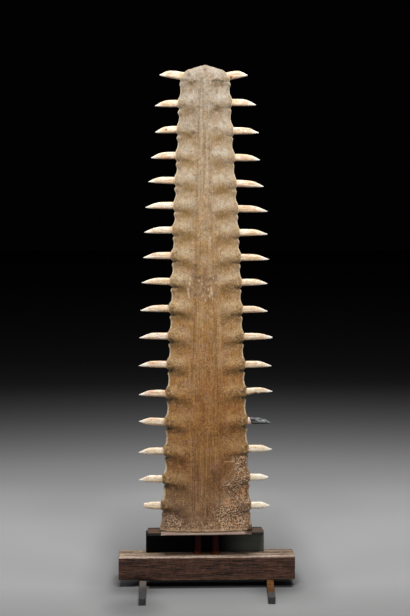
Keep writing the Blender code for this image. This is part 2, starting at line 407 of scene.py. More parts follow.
# what one tooth socket does to the skin round it, as shares from 0 to 1
def socketForm(side, number, root, high, across, deep, bend, rough):
    seed = number + (50 if side == "right" else 0)
    strength = vary(seed, 0.8, 1.15)
    lower = glide(root, 1.08, 0.62)
    low = glide(root, 0.8, 0.45)
    inner = vary(seed + 9, 0.02, 0.14) + 0.16 * lower
    wide = glide(across, inner, inner + 0.55)
    band = wide * (1 - 0.24 * glide(across, 0.62, 0.9))
    atEdge = glide(across, 0.78, 0.97) * lower
    lean = high - 0.001 + vary(seed + 5, 0.05, 0.13) * deep
    reach = np.where(lean > 0, 0.019, 0.0165 - 0.0035 * atEdge)
    power = np.where(lean > 0, 2, 2 + 1.6 * atEdge)
    ridge = np.exp(-np.abs(lean / reach) ** power) * band * strength
    ridge = ridge * (0.62 + 0.38 * lower - 0.22 * low)
    hollow = bell((lean + 0.024) / 0.009) * band
    # painted light on the upper slope above the tooth
    light = bell((lean - 0.013) / 0.012) * band * vary(seed + 21, 0.55, 1.1)
    # high up the stain, with the painted shade below the tooth, lies inside the edge, low down it reaches it
    spot = bell((across - vary(seed + 7, 0.46, 0.6)) / 0.24)
    away = (lean + vary(seed + 2, 0.0145, 0.018)) / (0.0118 - 0.0034 * low)
    stain = bell(away) * (spot + (wide - spot) * lower) * strength
    # rolls of skin that ring the root, broken here and there
    away = np.hypot(deep * 0.85, high + 0.001) + 0.003 * bend
    turn = np.arctan2(high, deep)
    collar = np.exp(-np.abs((away - 0.0118) / 0.0078) ** 2.6) * (0.3 + 0.4 * lower + 0.3 * low)
    wave = away / (0.0068 + 0.0016 * low) * 2 * np.pi + seed + 1.4 * np.sin(2 * turn + seed)
    fold = 0.5 - 0.5 * np.cos(wave)
    fold = fold * np.clip(0.55 + 1.1 * rough, 0.05, 1)
    # the deep crease that runs in from the edge just under the tooth
    line = high + vary(seed + 3, 0.014, 0.0165) + 0.08 * deep
    inTo = vary(seed + 4, 0.013, 0.021)
    width = np.where(line < 0, 0.0026 + 0.005 * low, 0.0026 + 0.0006 * low)
    crease = bell(line / width) * glide(deep, inTo, 0.004) * (0.14 + 0.86 * lower)
    # the edge bulges at the tooth, once more a little below it, with a notch between
    fuller = 1 if side == "right" else 1 + 0.36 * glide(root, 1.02, 0.88)
    tall = np.where(high > 0, 0.0165, 0.0122)
    swell = fuller * np.exp(-np.abs(high / tall) ** np.where(high > 0, 2.6, 3.4))
    swell = np.maximum(swell, vary(seed + 11, 0.34, 0.66) * bell((high + 0.0222) / 0.0068))
    swell = swell - 0.26 * lower * bell((high + 0.0145) / 0.0032)
    return swell, ridge, hollow, fold * collar, crease, light, stain, collar


# the same eight forms for all sockets, each point taking the strongest
def socketForms(z, out, inward, right, bend, rough):
    forms = np.zeros((8, len(z)))
    for side, here in (("left", ~right), ("right", right)):
        for number, root in enumerate(rootHeights[side], 1):
            near = here & (np.abs(z - root) < 0.056)
            local = (values[near] for values in (z - root, out, inward, bend, rough))
            found = np.array(socketForm(side, number, root, *local))
            held = forms[:, near]
            forms[:, near] = np.where(np.abs(found) > np.abs(held), found, held)
    return forms


# marks of the skin itself, in tenths of a millimetre: place across and up, reach, depth
marks = (
    (-340, 11630, 50, 12), (-390, 11176, 16, 8), (-40, 11042, 18, 8), (243, 12228, 60, 10),
    (-454, 13070, 52, 12), (-278, 8298, 36, 8), (-600, 3700, 26, 6), (-880, 1640, 24, 12),
    (-40, 13215, 36, 10),
)
# pale chips in the skin: place across and up, reach
flecks = (
    (-481, 7700, 34), (-468, 7590, 32), (-452, 7500, 26), (-130, 7841, 24), (-75, 9130, 16), (76, 9004, 24),
    (82, 8920, 14), (108, 7700, 36), (124, 7600, 34), (70, 7540, 24), (160, 7990, 22), (-75, 10050, 14),
    (-200, 7920, 20), (-420, 7980, 26), (-35, 7420, 22), (-440, 7840, 30), (30, 7700, 22), (-100, 7560, 18),
    (150, 7460, 20),
)
# furrows along the blade, and the pale lines beside them: height and place across in
# millimetres, strength
furrowLines = (
    (
        (450, -42, 0), (530, -40, 0.6), (600, -35, 0.8), (700, -30.5, 0.9), (800, -28.2, 1.1),
        (965, -26.8, 1.1), (1030, -24.5, 1), (1090, -23.2, 0.9), (1150, -21.9, 1.1), (1210, -19.4, 1.1),
        (1270, -18.1, 0.7), (1300, -17.5, 0),
    ),
    (
        (980, -11, 0), (1030, -9.2, 0.8), (1090, -6.6, 0.8), (1150, -6.3, 1.3), (1210, -8.8, 0.8),
        (1270, -9.2, 0.6), (1300, -9.2, 0),
    ),
    (
        (450, 29, 0), (530, 28, 0.6), (600, 24, 0.8), (700, 18.5, 0.9), (850, 14.5, 0.6),
        (930, 11.5, 0.8), (1000, 7, 0.8), (1090, 6.1, 0.7), (1150, 5, 0.4), (1200, 4, 0),
    ),
)
paleLines = (
    ((500, 40, 0), (550, 38.5, 0.8), (600, 35, 1), (700, 30.5, 1), (780, 29, 1), (840, 28, 0)),
    ((640, -11.7, 0), (690, -11.7, 1), (770, -11.7, 1), (840, -11.7, 0)),
    ((1060, -14.5, 0), (1100, -13.8, 0.8), (1160, -13, 1), (1220, -14, 0.7), (1270, -14, 0)),
    ((1020, 0, 0), (1080, 0.5, 0.9), (1150, 0.2, 1), (1200, 0, 0)),
)
wrinkle = {"x": 0.0225, "z": 1.2925, "bend": 8, "from": 0.007, "to": 0.045, "depth": 0.0009}


# how strongly the nearest of some lines along the blade shows at each point
def alongLines(lines, x, z, width):
    found = np.zeros_like(z)
    for line in lines:
        heights, places, strengths = np.array(line).T
        away = (x - np.interp(z, heights / 1000, places / 1000)) / width
        found = np.maximum(found, bell(away) * np.interp(z, heights / 1000, strengths))
    return found


def shapeBlade(angle, z):
    across = np.sin(angle)
    front = np.cos(angle) >= 0
    right = across > 0
    out = np.abs(across)
    up = share(z, blade["base"], blade["tip"])
    inDome = glide(z, blade["domeStart"] - 0.002, 1.318)
    calm = 1 - inDome
    halfWidth = bladeHalfWidth(z)
    inward = (1 - out) * halfWidth
    spread = (across * halfWidth, np.where(front, 0.05, -0.05), z)
    bend, rough = lumps(spread, 0.009, 8, 2), lumps(spread, 0.0062, 9, 2)
    forms = socketForms(z, out, inward, right, bend, rough)
    swell, ridge, hollow, fold, crease, light, stain, collar = forms
    thick = through([(row[0], row[2]) for row in domeCurve], np.maximum(z, blade["domeStart"]))
    outsets = {side: np.interp(z, *zip(*bladeEdges[side])) for side in bladeEdges}
    fuller = np.where(right, outsets["right"], outsets["left"])
    reachOut = halfWidth + fuller * ease(out) + blade["swell"] * swell * calm * ease(out)
    x = axisX(z) + across * reachOut

    edgeHalf = (blade["edgeAtBase"] + (blade["edgeAtTip"] - blade["edgeAtBase"]) * up) / 2
    rim = edgeHalf * np.sqrt(np.clip(1 - out**9, 0, 1))
    crown = np.where(front, blade["frontCrown"], blade["backCrown"]) - edgeHalf
    crown = crown * (1 - (1 - blade["crownLeft"]) * up) * (1 - out**2.4)
    depth = (rim + np.maximum(crown, 0)) * thick
    fromRim = np.sqrt(np.clip(1 - out**8, 0, 1))

    # sockets, furrows and marks, seen mostly on the front
    show = np.where(front, 1, 0.8)
    relief = blade["ridge"] * ridge * show * (1 - 0.7 * inDome)
    relief = relief - blade["hollow"] * hollow * calm
    relief = relief - (blade["fold"] * fold + blade["crease"] * crease) * (0.4 + 0.6 * calm)
    relief = relief + blade["collar"] * collar * (0.8 + 1.1 * rough) * calm
    furrow = alongLines(furrowLines, x, z, 0.002)
    relief = relief - 0.0007 * furrow
    mark = np.zeros_like(z)
    for markX, markZ, reach, sink in np.array(marks) / 10000:
        away = np.hypot(x - markX, z - markZ) / reach
        spot = bell(away) * front
        relief = relief - sink * spot + 0.4 * sink * bell((away - 1.7) / 0.5) * front
        mark = np.maximum(mark, spot)
    fleck = np.zeros_like(z)
    for fleckX, fleckZ, reach in np.array(flecks) / 10000:
        fleck = np.maximum(fleck, bell(np.hypot(x - fleckX, (z - fleckZ) * 0.5) / reach) * front)
    line = z - (wrinkle["z"] - wrinkle["bend"] * (x - wrinkle["x"]) ** 2)
    along = glide(x, wrinkle["from"], wrinkle["from"] + 0.006)
    along = along * glide(x, wrinkle["to"], wrinkle["to"] - 0.006)
    crinkle = bell(line / 0.003) * along * front
    relief = relief - wrinkle["depth"] * crinkle
    relief = relief + 0.001 * bell((line - 0.0055) / 0.004) * along * front

    # the skin is never smooth
    side = np.where(front, 1, -1)
    flat = (x, side * 0.05, z)
    tipRough = glide(z, 1.08, 1.26)
    patch = bladePatch(x, z)
    broad = lumps(flat, (0.034, 0.05, 0.042), 1)
    middling = lumps(flat, (0.014, 0.05, 0.016), 6)
    streak = lumps(flat, (0.0045, 0.05, 0.04), 2)
    small = lumps(flat, (0.0075, 0.05, 0.0075), 3)
    fine = lumps(flat, (0.0042, 0.05, 0.0042), 4, 2)
    skin = 0.0013 * broad + 0.00065 * middling * (0.7 + tipRough) + 0.00034 * streak
    skin = skin + 0.00036 * small * (0.7 + tipRough) + 0.00014 * fine
    skin = skin + 0.001 * fine * patch + 0.0006 * middling * patch
    lip = bell((z - blade["base"] - 0.004) / 0.003)
    relief = relief + skin + 0.0008 * lip
    bead = bell((out - 0.965) / 0.018) * (1 - collar)
    relief = (relief + 0.0007 * bead) * fromRim

    y = blade["edgeY"] + np.where(front, -1, 1) * (depth + relief * np.minimum(thick * 1.2, 1))
    edgeWave = lumps((0, 0.3 * right, z), 0.011, 7) * 0.0009
    x = x + np.sign(across) * edgeWave * glide(out, 0.86, 1) * (0.5 + 0.5 * calm)
    tones = {
        # painted light on the crests above the teeth
        "light": light * (1 - 0.6 * inDome),
        # stain below each tooth, partly painted shade, with painted shade under the wrinkle
        "stain": stain * (1 - 0.6 * inDome) + 0.7 * bell((line + 0.007) / 0.006) * along * front,
        "fold": fold,
        "collar": collar,
        # knob: painted highlight where the collar stands high, painted shade where it is low
        "knob": np.clip(collar * rough * 2.2, -1, 1),
        # crease: painted shade in the crease under each tooth and in the wrinkle
        "crease": np.maximum(crease * (0.35 + 0.65 * glide(z, 1.2, 0.8)), 0.34 * crinkle),
        "furrow": furrow,
        "paleLine": alongLines(paleLines, x, z, 0.0022),
        # rim: the paler edge of the skin, partly a painted highlight along the edges
        "rim": glide(out, 0.948, 0.984) * (1 - 0.9 * np.clip(collar + crease, 0, 1)),
        "patch": patch,
        "middle": 1 - glide(out, 0.26, 0.64),
        "mark": mark,
        "fleck": fleck,
        "lip": lip,
    }
    uneven = 0.0013 * inDome * lumps((x, 0, z), (0.008, 0.01, 0.02), 12, 2)
    return np.column_stack((x, y, np.minimum(z + uneven, blade["tip"]))), tones


# where the skin is crusted: low on the right, with a little low on the left
def bladePatch(x, z):
    ragged = lumps((x, 0, z), 0.016, 5)
    crust = np.zeros_like(z)
    for startX, topZ in ((0.02, 0.222), (0.044, 0.285), (0.066, 0.346)):
        across = glide(x + ragged * 0.012, startX - 0.008, startX + 0.01)
        crust = np.maximum(crust, across * glide(z + ragged * 0.014, topZ + 0.008, topZ - 0.01))
    lowLeft = glide(-x + ragged * 0.014, 0.056, 0.076) * glide(z + ragged * 0.016, 0.203, 0.183)
    foot = 0.55 * glide(z + ragged * 0.016, 0.19, 0.16)
    return np.clip(np.maximum(crust, np.maximum(0.9 * lowLeft, foot)), 0, 1)


# places with a colour of their own: spot, reaches, and how strongly it shows
darkPlaces = (
    ((-0.07, -0.022, 0.235), 0.07, 0.34), ((-0.08, -0.02, 0.165), 0.055, 0.4),
    ((-0.042, -0.015, 1.196), 0.062, 0.36),
)
crowdedPlaces = (
    ((0.082, -0.026, 0.318), 0.01, 0.034), ((0.056, -0.03, 0.19), 0.014, 0.05),
    ((-0.078, -0.022, 0.174), 0.01, 0.036),
)
orangePlaces = (
    ((0.093, -0.018, 0.252), 0.013), ((0.0925, -0.018, 0.239), 0.013), ((0.0895, -0.02, 0.227), 0.011),
    ((0.095, -0.016, 0.18), 0.014), ((0.101, -0.013, 0.168), 0.012), ((0.1015, -0.012, 0.185), 0.011),
    ((0.056, -0.028, 0.228), 0.012), ((0.055, -0.028, 0.214), 0.012),
)


def skinFinish():
    f = Finish("dried skin")
    rise = (f.z - blade["base"]) / (blade["tip"] - blade["base"])
    base = f.ramp(rise, (
        (0, 134, 102, 70), (0.05, 124, 87, 52), (0.13, 122, 80, 42), (0.23, 135, 87, 38),
        (0.33, 156, 106, 53), (0.45, 162, 117, 61), (0.66, 166, 135, 94),
        (0.82, 152, 130, 99), (1, 144, 131, 113),
    ))
    paler = f.ramp(rise, (
        (0, 206, 178, 144), (0.12, 172, 130, 80), (0.25, 184, 138, 76),
        (0.46, 198, 170, 128), (0.66, 194, 178, 152), (1, 184, 178, 168),
    ))
    warmPale = f.mix(0.55, paler, f.mix(rise, (200, 142, 78), (186, 158, 120)))
    darker = f.ramp(rise, (
        (0, 72, 47, 27), (0.25, 78, 44, 15), (0.5, 98, 65, 27),
        (0.72, 118, 87, 46), (1, 106, 86, 60),
    ))
    # clouds of greyer, warmer and pinker skin
    clouds = f.step(f.noise((18, 18, 15), 5, 0.6, 0.6), 0.44, 0.6)
    f.tone = f.mix(clouds * 0.34, base, paler)
    warm = f.step(f.noise((26, 26, 20), 4, 0.6, 0.8), 0.5, 0.64)
    f.coat(warm * (0.12 + rise * 0.28), (150, 106, 52))
    cool = f.step(f.noise((30, 30, 26), 4, 0.6, 0.8), 0.5, 0.62)
    f.coat(cool * (rise * 0.46), (150, 145, 140))
    pink = f.step(f.noise((42, 42, 36), 3, 0.6, 0.6), 0.54, 0.66) * f.step(rise, 0.96, 0.8)
    f.coat(pink * 0.34, (172, 122, 104))
    # painted light on the crest above each tooth, and painted shade in the hollow below it, which is partly
    # the skin's own ochre stain
    ragged = f.noise((90, 90, 110), 4, 0.6, 0.6)
    f.coat(f["light"] * (0.42 + f.step(ragged, 0.64, 0.4) * 0.42), paler)
    f.coat(f["stain"] * (0.42 + f.step(ragged, 0.36, 0.6) * 0.48), darker)
    ochre = f.ramp(rise, ((0.1, 96, 66, 28), (0.5, 122, 92, 42), (0.8, 150, 116, 60)))
    f.coat(f["stain"] * f.step(rise, 0.98, 0.82) * f.step(rise, 0.12, 0.36) * 0.62, ochre)
    # greyer painted light on the crests
    greyer = f.ramp(rise, (
        (0.02, 138, 112, 74), (0.3, 154, 132, 96), (0.6, 176, 164, 138), (1, 176, 172, 168),
    ))
    f.coat(f["light"] * 0.4, greyer)
    for spot, outer, strength in darkPlaces:
        f.coat(f.near(spot, 0.01, outer) * strength, darker)
    # streaks along the blade and blotches over them
    middle = f["middle"]
    streaks = f.noise((460, 60, 22), 4, 0.65, 0.3)
    f.wash(streaks, 0.47, 0.64, 0.16 + middle * 0.34, darker)
    low = f.step(rise, 0.62, 0.3)
    bands = f.noise((200, 60, 8), 3, 0.6, 0.3)
    f.coat(f.step(bands, 0.46, 0.66) * middle * low * 0.36, darker)
    f.coat(f.step(bands, 0.46, 0.32) * middle * low * 0.34, warmPale)
    pale = f.noise((360, 60, 18), 4, 0.65, 0.2)
    f.wash(pale, 0.52, 0.68, 0.14 + middle * 0.34, warmPale)
    blotch = f.noise((100, 100, 90), 4, 0.62, 0.6)
    f.wash(blotch, 0.5, 0.64, 0.5 - middle * low * 0.3, darker)
    bloom = f.noise((110, 110, 100), 4, 0.62, 0.6)
    f.wash(bloom, 0.54, 0.67, 0.44 - middle * low * 0.2, warmPale)
    f.coat(f["furrow"] * (0.3 + f.step(pale, 0.6, 0.42) * 0.34), darker)
    f.coat(f["paleLine"] * 0.4, warmPale)
    worn = f.near((-0.008, -0.034, 0.79), 0.01, 0.065)
    f.coat(worn * (0.22 + f.step(blotch, 0.44, 0.6) * 0.42), (100, 76, 64))
    # round the roots: the collar's own tone, painted shade in the fold troughs and in the crease, painted
    # highlight on the raised knobs and painted shade beside them
    f.coat(f["collar"] * 0.44, f.mix(rise, (160, 130, 84), (184, 150, 104)))
    f.coat(f["fold"] * 0.95, f.mix(low, darker, (54, 34, 15)))
    knob = f["knob"]
    f.wash(knob, 0.05, 0.8, 0.55, (188, 154, 104))
    f.wash(knob, -0.05, -0.7, 0.65, (66, 42, 22))
    f.coat(f["crease"] * 0.95, (34, 20, 9))
    f.coat(f.near((-0.004, -0.02, 1.325), 0.004, 0.03) * 0.45, (160, 150, 136))
    f.coat(f["mark"] * 0.74, (80, 56, 32))
    f.coat(f.near((0.0255, -0.02, 1.2865), 0, 0.01) * 0.55, (156, 134, 106))
    # the paler edge of the skin, partly a painted highlight along the rims
    f.coat(f["rim"] * (0.62 + f.step(ragged, 0.38, 0.56) * 0.36), (238, 218, 184))
    # grain and pores
    grain = f.noise((430, 430, 430), 3, 0.7)
    f.wash(grain, 0.48, 0.65, 0.88 - rise * 0.34, darker)
    f.wash(grain, 0.46, 0.3, 0.68 - rise * 0.28, paler)
    fleck = f.cells((150, 150, 120))
    paleFleck = f.step(fleck, 0.22, 0.12) * f.step(f.noise((30, 30, 24), 2), 0.62, 0.7)
    chips = f.step(f["fleck"] * 0.7 + grain * 1.2 + streaks * 0.6, 1.12, 1.4)
    f.coat(paleFleck.atLeast(chips) * 0.54, (212, 184, 152))
    holes = f.step(f.noise((260, 260, 260), 3, 0.7, 0.4), 0.52, 0.6)
    f.coat(f.near((0.036, -0.034, 0.278), 0.012, 0.052) * holes * 0.72, (66, 38, 24))
    # the crusted patch: pale, rusty and dark specks over grey brown
    patch = f["patch"]
    density = f.step(f.noise((56, 56, 50), 4, 0.62, 0.7), 0.38, 0.58)
    for spot, inner, outer in crowdedPlaces:
        density = density + f.near(spot, inner, outer) * 0.8
    density = density.atMost(1.15)
    dark = f.noise((190, 190, 190), 4, 0.7, 0.4)
    f.coat(patch * (0.34 + f.step(dark, 0.44, 0.62) * 0.5), (80, 49, 28))
    f.coat(f.near((-0.09, -0.02, 0.18), 0.012, 0.066) * 0.74, (66, 40, 20))
    mauve = f.noise((74, 74, 60), 3, 0.6, 0.6)
    f.coat(patch * f.step(mauve, 0.53, 0.62) * 0.36, (100, 80, 72))
    rust = f.noise((120, 120, 60), 4, 0.7)
    f.coat(patch * f.step(rust, 0.53, 0.63) * 0.68, (158, 98, 48))
    speckle = f.noise((310, 310, 310), 4, 0.75)
    foot = f.step(f.z, 0.195, 0.158)
    f.coat(patch * f.step(speckle, 0.51, 0.565) * (0.16 + density * 0.62 + foot * 0.2), (218, 180, 140))
    pits = f.noise((250, 250, 250), 3, 0.7, 0.4)
    f.coat(patch * f.step(pits, 0.565, 0.63) * 0.95, (34, 21, 16))
    dots = f.step(f.cells((260, 260, 260)) + speckle * 0.3, 0.44, 0.28)
    f.coat(patch * dots * (0.3 + density * 0.7), (240, 218, 192))
    # a blue grey spot and an orange run
    torn = f.noise((150, 150, 110), 4, 0.7, 0.8)
    blue = f.step(f.near((0.089, -0.022, 0.211), 0, 0.019) * (torn * 1.6 + 0.3), 0.46, 0.86)
    f.coat(blue * (0.34 + f.step(speckle, 0.56, 0.48) * 0.4), (64, 70, 70))
    orange = 0
    for spot, outer in orangePlaces:
        orange = f.near(spot, 0, outer) + orange
    orange = f.step(orange * (torn * 1.4 + 0.25), 0.34, 0.8)
    f.coat(orange * (0.16 + f.step(speckle, 0.46, 0.54) * 0.6), (212, 152, 98))
    # a thin scratch across the right side
    scratch = 1 - f.step(abs(f.z - 0.3274), 0.0004, 0.0012)
    scratch = scratch * f.step(f.x, 0.042, 0.046) * (1 - f.step(f.x, 0.064, 0.068))
    f.coat(scratch * 0.6, (206, 170, 118))
    f.coat(f["lip"] * 0.4, (190, 166, 130))
    # painted shade along the foot of the blade, where it sits on the plate, and at its lower right corner
    corner = f.step(f.x, 0.101, 0.109) * f.step(f.z, blade["base"] + 0.016, blade["base"] + 0.006)
    seatShade = f.step(f.z, blade["base"] + 0.0026, blade["base"] + 0.0012)
    f.coat(corner * 0.8, (58, 34, 20))
    f.coat(seatShade * 0.8, (50, 30, 18))
    relief = grain * 0.6 + streaks * 0.5 + blotch * 0.5 + speckle * patch * 1.6
    return f.close(0.56 + grain * 0.25, relief, 0.6, 0.0013, specular=0.32)


# Teeth

toothShape = {
    "halfHeight": 0.0089, "firstHalfHeight": 0.01, "flatness": 0.54, "inBlade": 0.02, "rings": 34,
    "sides": 28,
}
# along the exposed length: upper edge, lower edge and thickness as shares of the root's
toothCurve = (
    (0, 1, -1, 1), (0.3, 0.97, -0.97, 0.97), (0.52, 0.85, -0.94, 0.88), (0.66, 0.6, -0.91, 0.78),
    (0.8, 0.18, -0.85, 0.6), (0.92, -0.26, -0.76, 0.36), (1, -0.54, -0.66, 0.1),
)
tipLevel = -0.6
# a few low ones run to a point in the middle instead
leafCurve = (
    (0, 1, -1, 1), (0.3, 1.02, -1.02, 0.98), (0.58, 0.96, -0.96, 0.9), (0.74, 0.6, -0.78, 0.72),
    (0.9, 0.16, -0.44, 0.4), (1, -0.06, -0.2, 0.1),
)
leafTip = -0.13
leafShare = {
    ("left", 14): 1, ("left", 15): 0.35, ("left", 16): 0.45, ("left", 17): 1,
    ("right", 15): 1, ("right", 16): 1, ("right", 17): 1,
}
stouter = {("left", 14): 1.1, ("left", 15): 1.05, ("left", 16): 1.06, ("left", 17): 1.12, ("right", 15): 1.08}
worn = {("left", 17): 1, ("right", 16): 0.4, ("right", 11): 0.3}
chipped = ("right", 13)
greyed = ("right", 14)


# one tooth along +X from a cylinder: the root ends at -1, the edge of the blade is 0, the tip is 1
def modelTooth():
    settings = {"vertices": toothShape["sides"], "radius": 1, "depth": 1}
    settings.update({"location": (0.5, 0, 0), "rotation": (0, math.pi / 2, 0)})
    obj = begin("tooth_model", bpy.ops.mesh.primitive_cylinder_add, **settings)
    cutAlong(obj, 0, toothShape["rings"] - 1)
    return obj


def shapeTooth(obj, side, number):
    rootMm, reachMm, fallMm = teeth[side][number - 1]
    outward = 1 if side == "right" else -1
    z = np.array([rootMm / 1000])
    inDome = z[0] > blade["domeStart"]
    edge = bladeHalfWidth(z)[0] + blade["swell"] * (0.5 if inDome else 1)
    exposed = reachMm / 1000 - edge
    halfHeight = toothShape["firstHalfHeight" if number == 1 else "halfHeight"]
    halfHeight *= stouter.get((side, number), 1)
    leaf = leafShare.get((side, number), 0)
    level = tipLevel + (leafTip - tipLevel) * leaf
    rise = -fallMm / 1000 - level * halfHeight
    direction = np.array([outward * exposed, 0, rise])
    direction /= np.linalg.norm(direction)
    upward = np.array([-direction[2], 0, direction[0]]) * outward

    points = coords(obj)
    # rings stand closer towards the tip
    t = -toothShape["inBlade"] / exposed + (1 + toothShape["inBlade"] / exposed) * (points[:, 0] ** 0.8)
    outer = np.clip(t, 0, 1)
    angle = np.arctan2(points[:, 1], points[:, 2])
    kept = worn.get((side, number), 0) * outer**1.5
    top, low, thick = (
        through([(c[0], c[k]) for c in toothCurve], outer) * (1 - leaf)
        + through([(c[0], c[k]) for c in leafCurve], outer) * leaf
        for k in (1, 2, 3)
    )
    # a worn tooth stays stout and ends rounded
    blunt = outer**6
    top = top + (0.84 - 0.3 * blunt - top) * kept
    low = low + (-0.88 + 0.28 * blunt - low) * kept
    thick = thick + (0.92 - 0.35 * blunt - thick) * kept
    seed = number + (40 if side == "right" else 0)
    wobble = lumps((outer * 3, 0, 0), 1, seed, 2)
    top = top + 0.035 * wobble * outer
    if (side, number) == chipped:
        broken = lumps((outer * 11, 0, 0), 1, 3, 2)
        low = low + np.clip(0.26 + 0.6 * broken, 0.05, 0.6) * bell((outer - 0.44) / 0.24)
    middle = halfHeight * (top + low) / 2
    half = halfHeight * (top - low) / 2
    across = halfHeight * toothShape["flatness"] * thick
    # a flattened oval whose faces are a little flat
    c, s = np.cos(angle), np.sin(angle)
    oval = (np.abs(c) ** 2.5 + np.abs(s) ** 2.5) ** (-1 / 2.5)
    grain = lumps((outer * 1.2 + seed, c * 3.2, s * 3.2), 1, seed)
    oval = oval * (1 + 0.018 * grain)
    radial = np.hypot(points[:, 1], points[:, 2]) > 0.5
    lift = np.where(radial, middle + half * c * oval, middle)
    aside = np.where(radial, across * s * oval, 0)
    root = np.array([axisX(z)[0] + outward * edge, blade["edgeY"], z[0]])
    shaped = root + np.outer(t * exposed, direction) + np.outer(lift, upward)
    shaped[:, 1] += aside
    setCoords(obj, shaped)
    addTone(obj, "along", t)
    addTone(obj, "bottom", -c)


def makeTeeth(ivory, grey):
    model = modelTooth()
    for side, row in teeth.items():
        for number in range(1, len(row) + 1):
            piece = model.copy()
            piece.data = model.data.copy()
            bpy.context.scene.collection.objects.link(piece)
            piece.name = f"{side}_tooth_{number:02d}"
            shapeTooth(piece, side, number)
            pickOnly(piece)
            faceOut()
            smoothOver(piece, 60)
            finish = grey if (side, number) == greyed else ivory
            dress(piece, finish, "tooth", f"tooth_{side}_{number:02d}")
    bpy.data.objects.remove(model, do_unlink=True)
    print("teeth", sum(len(row) for row in teeth.values()))


def toothFinish():
    f = Finish("ivory")
    along = f["along"]
    clouds = f.step(f.noise((34, 60, 60), 4, 0.6, 0.4), 0.4, 0.62)
    f.tone = f.mix(clouds, (234, 212, 176), (250, 240, 220))
    streaks = f.noise((34, 160, 420), 4, 0.65, 0.4)
    f.wash(streaks, 0.48, 0.61, 0.74, (200, 150, 98))
    stain = f.noise((52, 80, 110), 4, 0.62, 0.6)
    f.wash(stain, 0.53, 0.64, 0.62, (212, 150, 122))
    # painted shade on the lower side of each tooth, partly a pinkish stain
    f.wash(f["bottom"], 0.3, 0.95, 0.52, (176, 128, 96))
    f.wash(along, 0.6, 0.96, 0.8, (255, 251, 240))
    f.coat((1 - f.step(along, -0.02, 0.1)) * 0.45, (190, 142, 96))
    # the lowest teeth are cleaner, the right ones most of all
    clean = f.step(f.z, 0.5, 0.24) * (0.3 + f.step(f.x, -0.1, 0.1) * 0.36)
    f.coat(clean, (255, 246, 222))
    f.coat(f.near((-0.16, -0.005, 0.206), 0.004, 0.026) * 0.5, (218, 184, 138))
    cracks = f.cells((80, 200, 520), "DISTANCE_TO_EDGE")
    f.coat((1 - f.step(cracks, 0.004, 0.04)) * 0.6, (126, 82, 48))
    specks = f.noise((300, 500, 500), 3, 0.7)
    f.wash(specks, 0.56, 0.65, 0.72, (132, 84, 50))
    f.coat(f.near((-0.102, -0.01, 1.1725), 0.0012, 0.0036) * 0.85, (96, 50, 34))
    f.coat(f.near((0.061, -0.012, 1.303), 0.002, 0.006) * 0.85, (92, 56, 34))
    return f.close(0.36 + streaks * 0.25, streaks * 0.7 + specks * 0.4, 0.4, 0.0007)


def greyToothFinish():
    f = Finish("greyed tooth")
    along = f["along"]
    mottle = f.noise((60, 120, 160), 4, 0.65, 0.6)
    bottom = f["bottom"]
    f.tone = f.mix(f.step(mottle, 0.42, 0.6), (52, 53, 56), (164, 166, 166))
    # painted shade on the underside
    f.coat(f.step(bottom, 0, 0.6), (12, 12, 14))
    f.wash(bottom, -0.72, -0.95, 0.75, (24, 24, 26))
    f.wash(along, 0.74, 0.98, 0.7, (30, 30, 32))
    stub = f.mix(f.step(mottle, 0.4, 0.6), (196, 150, 134), (232, 208, 194))
    ragged = along + mottle * 0.1 - bottom * 0.045
    f.tone = f.mix(f.step(ragged, 0.15, 0.18), stub, f.tone)
    seam = f.step(ragged, 0.14, 0.17) * (1 - f.step(ragged, 0.2, 0.26))
    f.coat(seam * 0.85, (34, 28, 28))
    return f.close(0.3 + mottle * 0.3, mottle, 0.4, 0.0006)


# Planks: a bevelled block cut into a fine grid, then weathered

def plank(name, node, sizes, weather, seed, like=None, turn=0):
    low, high = (np.array(corner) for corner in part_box(node))
    bevel, cuts = sizes["bevel"], sizes["cuts"]
    if like:
        half = (np.array(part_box(like)[1]) - np.array(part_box(like)[0])) / 2
        middle = (low + high) / 2
        low, high = middle - half, middle + half
    obj = begin(name, bpy.ops.mesh.primitive_cube_add, size=1, location=(low + high) / 2, scale=high - low)
    rounding = obj.modifiers.new("worn edges", "BEVEL")
    rounding.width = bevel
    rounding.segments = 3
    applyAll(obj)
    for axis, count in enumerate(cuts):
        if count:
            cutAlong(obj, axis, count)
    points = coords(obj)
    centre = (low + high) / 2
    inside = (high - low) / 2 - bevel
    away = points - centre
    outwards = away - np.clip(away, -inside, inside)
    outwards /= np.maximum(np.linalg.norm(outwards, axis=1, keepdims=True), 1e-9)
    grain = lumps(points.T, weather["grain"], seed)
    dents = lumps(points.T, weather["dents"], seed + 5)
    nearEdge = (np.abs(away) > inside - bevel).sum(axis=1) > 1
    sink = weather["depth"] * (0.5 + 0.5 * grain) + weather["wear"] * nearEdge * np.clip(dents, 0, 1)
    points = points - outwards * np.clip(sink, 0, None)[:, None]
    # bites out of the lower front edge: place, half length, depth
    for biteX, biteLength, biteDepth in weather.get("bites", ()):
        corner = np.hypot(points[:, 1] - low[1], points[:, 2] - low[2])
        bite = np.exp(-np.abs((points[:, 0] - biteX) / biteLength) ** 3) * ease(1 - corner / 0.013)
        bite = bite * biteDepth * (0.65 + 0.35 * dents)
        points = points + np.outer(bite, (0, 0.5, 1))
    # ends that thin out
    taper = weather.get("taper", 0)
    if taper:
        ends = glide(np.abs(points[:, 0] - centre[0]), (high - low)[0] / 2 - taper, (high - low)[0] / 2)
        points[:, 2] = low[2] + (points[:, 2] - low[2]) * (1 - 0.7 * ends)
    if turn:
        across, along = points[:, 0] - centre[0], points[:, 1] - centre[1]
        points[:, 0] = centre[0] + across * math.cos(turn) - along * math.sin(turn)
        points[:, 1] = centre[1] + across * math.sin(turn) + along * math.cos(turn)
    setCoords(obj, points)
    faceOut()
    smoothOver(obj, 50)
    return obj


